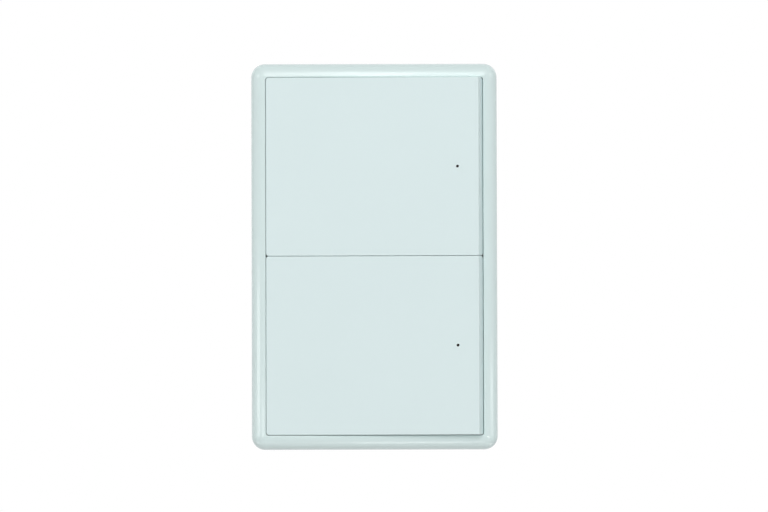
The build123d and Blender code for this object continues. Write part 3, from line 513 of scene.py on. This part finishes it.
# Studio: a pale floor well below the plate and a white surround. A broad soft lamp above the
# camera does most of the lighting, weak broad ones fill in from the sides and from below, narrow
# ones put the highlights on the round rim, and two stand behind for the views of the back.
def seen_directly(tree):
    """1 where the camera sees a thing, straight or mirrored, and 0 where it only gives light."""
    paths = tree.nodes.new("ShaderNodeLightPath")
    seen = paths.outputs["Is Camera Ray"]
    for ray in ("Is Glossy Ray", "Is Transmission Ray"):
        either = tree.nodes.new("ShaderNodeMath")
        either.operation = "MAXIMUM"
        tree.links.new(seen, either.inputs[0])
        tree.links.new(paths.outputs[ray], either.inputs[1])
        seen = either.outputs["Value"]
    return seen


floor_side, floor_drop, floor_glow = 20.0, 1.2, 0.65
sheet = bmesh.new()
bmesh.ops.create_grid(sheet, x_segments=1, y_segments=1, size=floor_side / 2)
bmesh.ops.translate(sheet, vec=(0, 0, -floor_drop), verts=sheet.verts)
floor = to_object("floor", sheet)
floor_paint, tree, place, shader = new_finish("floor_paint")
pale_paint = blend_colours(tree, spread(tree, cloud(tree, place, size=0.3)),
                           (0.80, 0.80, 0.80), (0.78, 0.78, 0.78))
tree.links.new(blend_colours(tree, seen_directly(tree), (0.50, 0.50, 0.50), pale_paint),
               shader.inputs["Base Color"])
shader.inputs["Emission Color"].default_value = (1, 1, 1, 1)
tree.links.new(spread(tree, seen_directly(tree), 0.0, floor_glow, start=0.0, end=1.0),
               shader.inputs["Emission Strength"])
shader.inputs["Roughness"].default_value = 0.8
relief(tree, shader, cloud(tree, place, size=0.004), 0.00002)
floor.data.materials.append(floor_paint)

light_given, light_seen = 0.35, 1.0
surround = bpy.data.worlds.new("surround")
surround.use_nodes = True
bpy.context.scene.world = surround
tree = surround.node_tree
background = tree.nodes["Background"]
background.inputs["Color"].default_value = (1, 1, 1, 1)
tree.links.new(spread(tree, seen_directly(tree), light_given, light_seen, start=0.0, end=1.0),
               background.inputs["Strength"])

# Each lamp faces the plate from so many degrees to the right of its front and above it, at this
# distance, with this width and height, in metres, and this radiance. One that gloss leaves out
# lights the plate but isn't reflected in the rim, and one that matt leaves out is only reflected.
for name, turn, rise, distance, width, height, radiance, left_out_by in (
        ("top_lamp", 0, 26, 1.6, 1.2, 0.66, 3.9, "gloss"),
        ("top_bar", 2.75, 26, 1.6, 0.32, 0.66, 3.1, "matt"),
        ("top_spot", 0.6, 26.5, 1.5, 0.035, 0.9, 5.6, "none"),
        ("overhead_lamp", -8, 50, 1.2, 1.2, 0.5, 0.8, "none"),
        ("under_lamp", 0, -72, 1.1, 2.4, 1.0, 0.42, "none"),
        ("left_fill", -80, 0, 1.2, 0.9, 1.0, 0.52, "none"),
        ("right_fill", 75, 0, 1.2, 0.9, 1.0, 0.34, "none"),
        ("right_front_fill", 45, -8, 1.2, 0.8, 0.8, 0.62, "gloss"),
        ("left_lamp", -56, -1.56, 0.7, 0.34, 0.066, 4.0, "none"),
        ("left_glint", -19.5, -3.1, 0.9, 0.24, 0.024, 5.0, "none"),
        ("right_lamp", 65, -2.8, 0.7, 0.38, 0.034, 2.8, "none"),
        ("low_lamp", 3.0, -56.5, 0.7, 0.052, 0.17, 4.0, "none"),
        ("upper_left_glint", -54.5, 17.4, 0.7, 0.19, 0.15, 6.8, "matt"),
        ("upper_left_spark", -21.9, 27.8, 0.9, 0.12, 0.10, 8.0, "matt"),
        ("upper_right_glint", 61.5, 19.5, 0.7, 0.14, 0.22, 5.6, "matt"),
        ("upper_right_spark", 27.5, 30.6, 0.9, 0.12, 0.10, 5.0, "matt"),
        ("lower_right_spark", 32.2, -11.8, 0.9, 0.16, 0.13, 34.0, "matt"),
        ("lower_right_glint", 99.0, -51.9, 0.7, 0.17, 0.17, 5.4, "matt"),
        ("lower_left_glint", -87.0, -40.6, 0.7, 0.17, 0.17, 2.8, "matt"),
        ("back_left", 215, 25, 1.6, 1.0, 1.0, 2.6, "gloss"),
        ("back_right", 145, 25, 1.6, 1.0, 1.0, 2.6, "gloss")):
    light = bpy.data.lights.new(name, "AREA")
    light.shape = "RECTANGLE"
    light.size, light.size_y = width, height
    light.energy = radiance * pi * width * height
    holder = bpy.data.objects.new(name, light)
    holder.visible_camera = False
    holder.visible_glossy = left_out_by != "gloss"
    holder.visible_diffuse = left_out_by != "matt"
    bpy.context.scene.collection.objects.link(holder)
    turn, rise = radians(turn), radians(rise)
    way = Vector((sin(turn) * cos(rise), -cos(turn) * cos(rise), sin(rise)))
    holder.location = way * distance
    holder.rotation_euler = way.to_track_quat("Z", "Y").to_euler()
